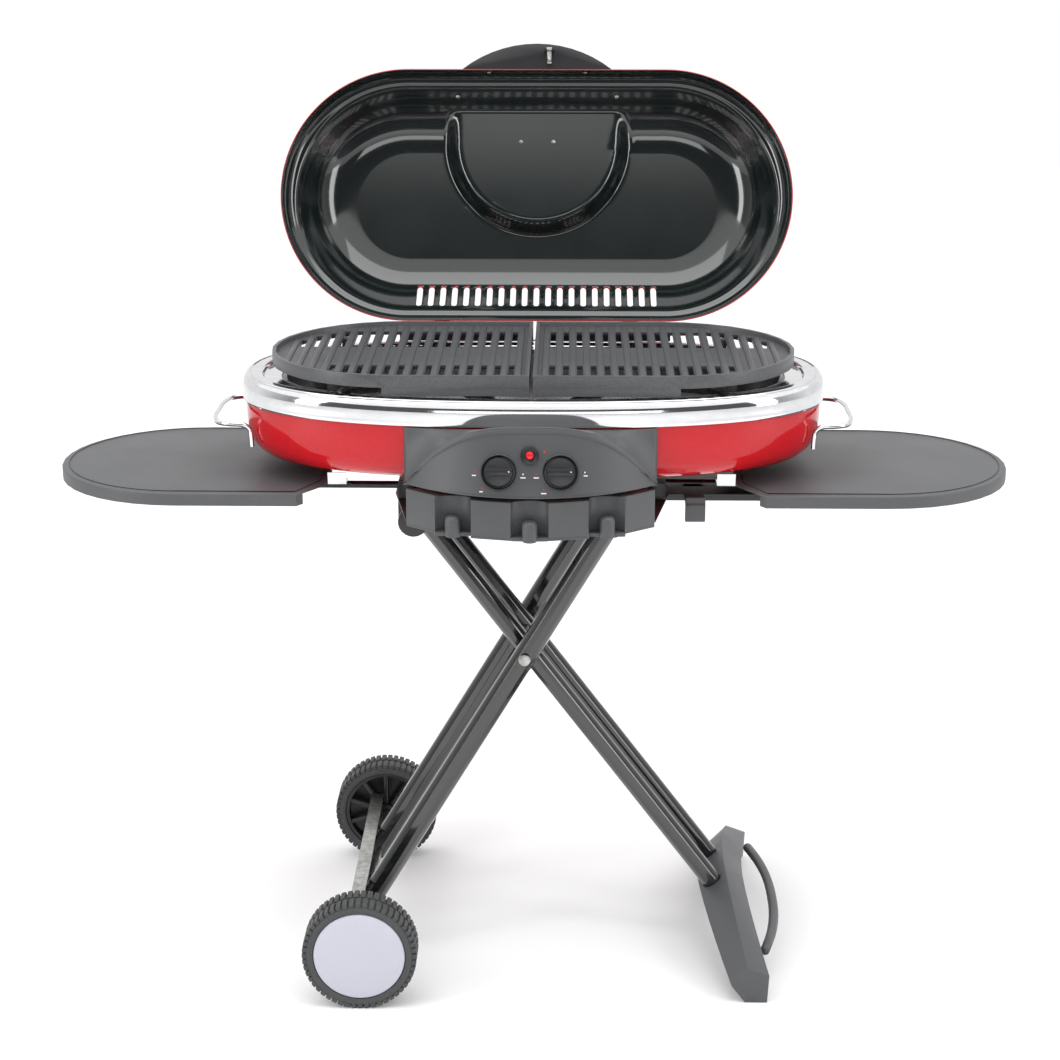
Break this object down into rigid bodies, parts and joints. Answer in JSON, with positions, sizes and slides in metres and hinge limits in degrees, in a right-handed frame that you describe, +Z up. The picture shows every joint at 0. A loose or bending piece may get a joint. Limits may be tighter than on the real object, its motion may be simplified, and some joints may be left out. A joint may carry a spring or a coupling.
{
  "type": "folding gas grill",
  "caption": "Free-standing portable gas grill: enamelled bowl and hinged lid, folding scissor legs with wheels and a foot bar, and side tables that slide out.",
  "frame": {"origin": "floor point under the middle of the object's bounding box, standing on its wheels and foot bar with the lid open and the tables out", "axes": "+X to the cook's right as they face the control panel, +Y away from the cook, +Z up"},
  "size_m": [1.158, 0.6294, 1.1018],
  "materials": {
    "red_enamel": "glossy porcelain enamel on steel sheet, with a near-black green inside on the lid",
    "chrome": "bright plated steel",
    "pan_steel": "plain formed steel sheet",
    "burner_steel": "heat-dulled tube steel",
    "brass": "plain machined brass",
    "ceramic": "white glazed ceramic insulator",
    "cast_iron": "matt black porcelain-coated cast iron",
    "hinge_steel": "zinc-plated steel",
    "panel_plastic": "fine-textured dark grey moulding",
    "black_plastic": "satin black moulding",
    "red_plastic": "glossy red moulding",
    "black_steel": "satin black powder coat",
    "black_chrome": "dark polished plating",
    "table_plastic": "fine-textured grey moulding",
    "gloss_black": "gloss black paint on oval tube",
    "grey_plastic": "fine-textured grey moulding",
    "tyre_rubber": "dull dark grey moulded tyre",
    "pale_plastic": "pale silver-grey painted cap",
    "galvanised": "zinc-plated channel"
  },
  "bodies": {
    "grill_top": {"fire_bowl": "red_enamel", "rim_ring": "chrome", "drip_pan": "pan_steel", "burner_left": "burner_steel", "burner_right": "burner_steel", "valve_left": "brass", "valve_right": "brass", "gas_manifold": "brass", "igniter_module": "black_plastic", "igniter_bezel": "black_plastic", "spark_electrode": "ceramic", "control_panel": "panel_plastic", "tool_rack": "panel_plastic", "base_tray": "black_steel", "bowl_post_front": "black_steel", "bowl_post_rear": "black_steel", "leg_bracket": "black_steel", "leg_track": "black_steel", "foot_hinge_pin": "black_steel", "fold_catch": "panel_plastic", "table_guide_front": "black_plastic", "table_guide_rear": "black_plastic", "bowl_tab_left": "chrome", "bowl_tab_right": "chrome", "side_handle_left": "chrome", "side_handle_right": "chrome", "lid_hinge_leaf_left": "hinge_steel", "lid_hinge_leaf_right": "hinge_steel"},
    "lid": {"lid_shell": "red_enamel", "lid_handle": "black_plastic", "lid_hinge_arm_left": "hinge_steel", "lid_hinge_arm_right": "hinge_steel"},
    "lid_latch": {"lid_latch": "hinge_steel"},
    "grate_left": {"grate_left": "cast_iron"},
    "grate_right": {"grate_right": "cast_iron"},
    "knob_left": {"knob_left": "black_plastic"},
    "knob_right": {"knob_right": "black_plastic"},
    "igniter_button": {"igniter_button": "red_plastic"},
    "table_left": {"side_table_left": "table_plastic", "table_rod_left_front": "black_chrome", "table_rod_left_rear": "black_chrome"},
    "table_right": {"side_table_right": "table_plastic", "table_rod_right_front": "black_chrome", "table_rod_right_rear": "black_chrome"},
    "foot_frame": {"foot_leg_front": "gloss_black", "foot_leg_rear": "gloss_black", "foot_bar": "grey_plastic", "pull_grip": "grey_plastic"},
    "wheel_frame": {"wheel_leg_front": "gloss_black", "wheel_leg_rear": "gloss_black", "axle": "hinge_steel", "axle_channel": "galvanised", "scissor_bolt": "black_steel"},
    "slide_shoe": {"slide_shoe": "black_plastic"},
    "wheel_front": {"tyre_front": "tyre_rubber", "wheel_hub_front": "black_plastic", "hub_cap_front": "pale_plastic"},
    "wheel_rear": {"tyre_rear": "tyre_rubber", "wheel_hub_rear": "black_plastic", "hub_cap_rear": "pale_plastic"}
  },
  "joints": [
    {"name": "lid_hinge", "type": "hinge", "parent": "grill_top", "child": "lid", "pos_m": [0, 0.13503, 0.7365], "axis": [-1, 0, 0], "range_deg": [-108.4, 0]},
    {"name": "latch_swing", "type": "hinge", "parent": "lid", "child": "lid_latch", "pos_m": [0.016, 0.26288, 1.0955], "axis": [1, 0, 0], "range_deg": [-108, 0]},
    {"name": "grate_left_lift", "type": "slide", "parent": "grill_top", "child": "grate_left", "axis": [0, 0, 1], "range_m": [0, 0.06]},
    {"name": "grate_right_lift", "type": "slide", "parent": "grill_top", "child": "grate_right", "axis": [0, 0, 1], "range_m": [0, 0.06]},
    {"name": "knob_left_turn", "type": "hinge", "parent": "grill_top", "child": "knob_left", "pos_m": [-0.035, -0.29403, 0.6745], "axis": [0, -0.9563, 0.2924], "range_deg": [0, 225]},
    {"name": "knob_right_turn", "type": "hinge", "parent": "grill_top", "child": "knob_right", "pos_m": [0.035, -0.29403, 0.6745], "axis": [0, -0.9563, 0.2924], "range_deg": [0, 225]},
    {"name": "igniter_push", "type": "slide", "parent": "grill_top", "child": "igniter_button", "axis": [0, 0.9563, -0.2924], "range_m": [0, 0.004], "stiffness_N_per_m": 300, "springref_m": -0.001},
    {"name": "table_left_slide", "type": "slide", "parent": "grill_top", "child": "table_left", "axis": [1, 0, 0], "range_m": [0, 0.226]},
    {"name": "table_right_slide", "type": "slide", "parent": "grill_top", "child": "table_right", "axis": [-1, 0, 0], "range_m": [0, 0.226]},
    {"name": "leg_fold", "type": "hinge", "parent": "grill_top", "child": "foot_frame", "pos_m": [-0.1422, -0.05547, 0.5745], "axis": [0, -1, 0], "range_deg": [0, 42]},
    {"name": "wheel_leg_fold", "type": "hinge", "parent": "foot_frame", "child": "wheel_frame", "pos_m": [-0.00887, -0.05547, 0.39757], "axis": [0, 1, 0], "range_deg": [0, 89.25]},
    {"name": "shoe_pivot", "type": "hinge", "parent": "wheel_frame", "child": "slide_shoe", "pos_m": [0.0972, -0.05547, 0.5745], "axis": [0, -1, 0], "range_deg": [0, 47.25]},
    {"name": "wheel_front_spin", "type": "hinge", "parent": "wheel_frame", "child": "wheel_front", "pos_m": [-0.2056, -0.27407, 0.0694], "axis": [0, 1, 0], "continuous": true},
    {"name": "wheel_rear_spin", "type": "hinge", "parent": "wheel_frame", "child": "wheel_rear", "pos_m": [-0.2056, 0.16313, 0.0694], "axis": [0, 1, 0], "continuous": true}
  ],
  "couplings": [
    {"joint": "wheel_leg_fold", "follows": "leg_fold", "ratio": 2.1248},
    {"joint": "shoe_pivot", "follows": "leg_fold", "ratio": 1.1248}
  ]
}
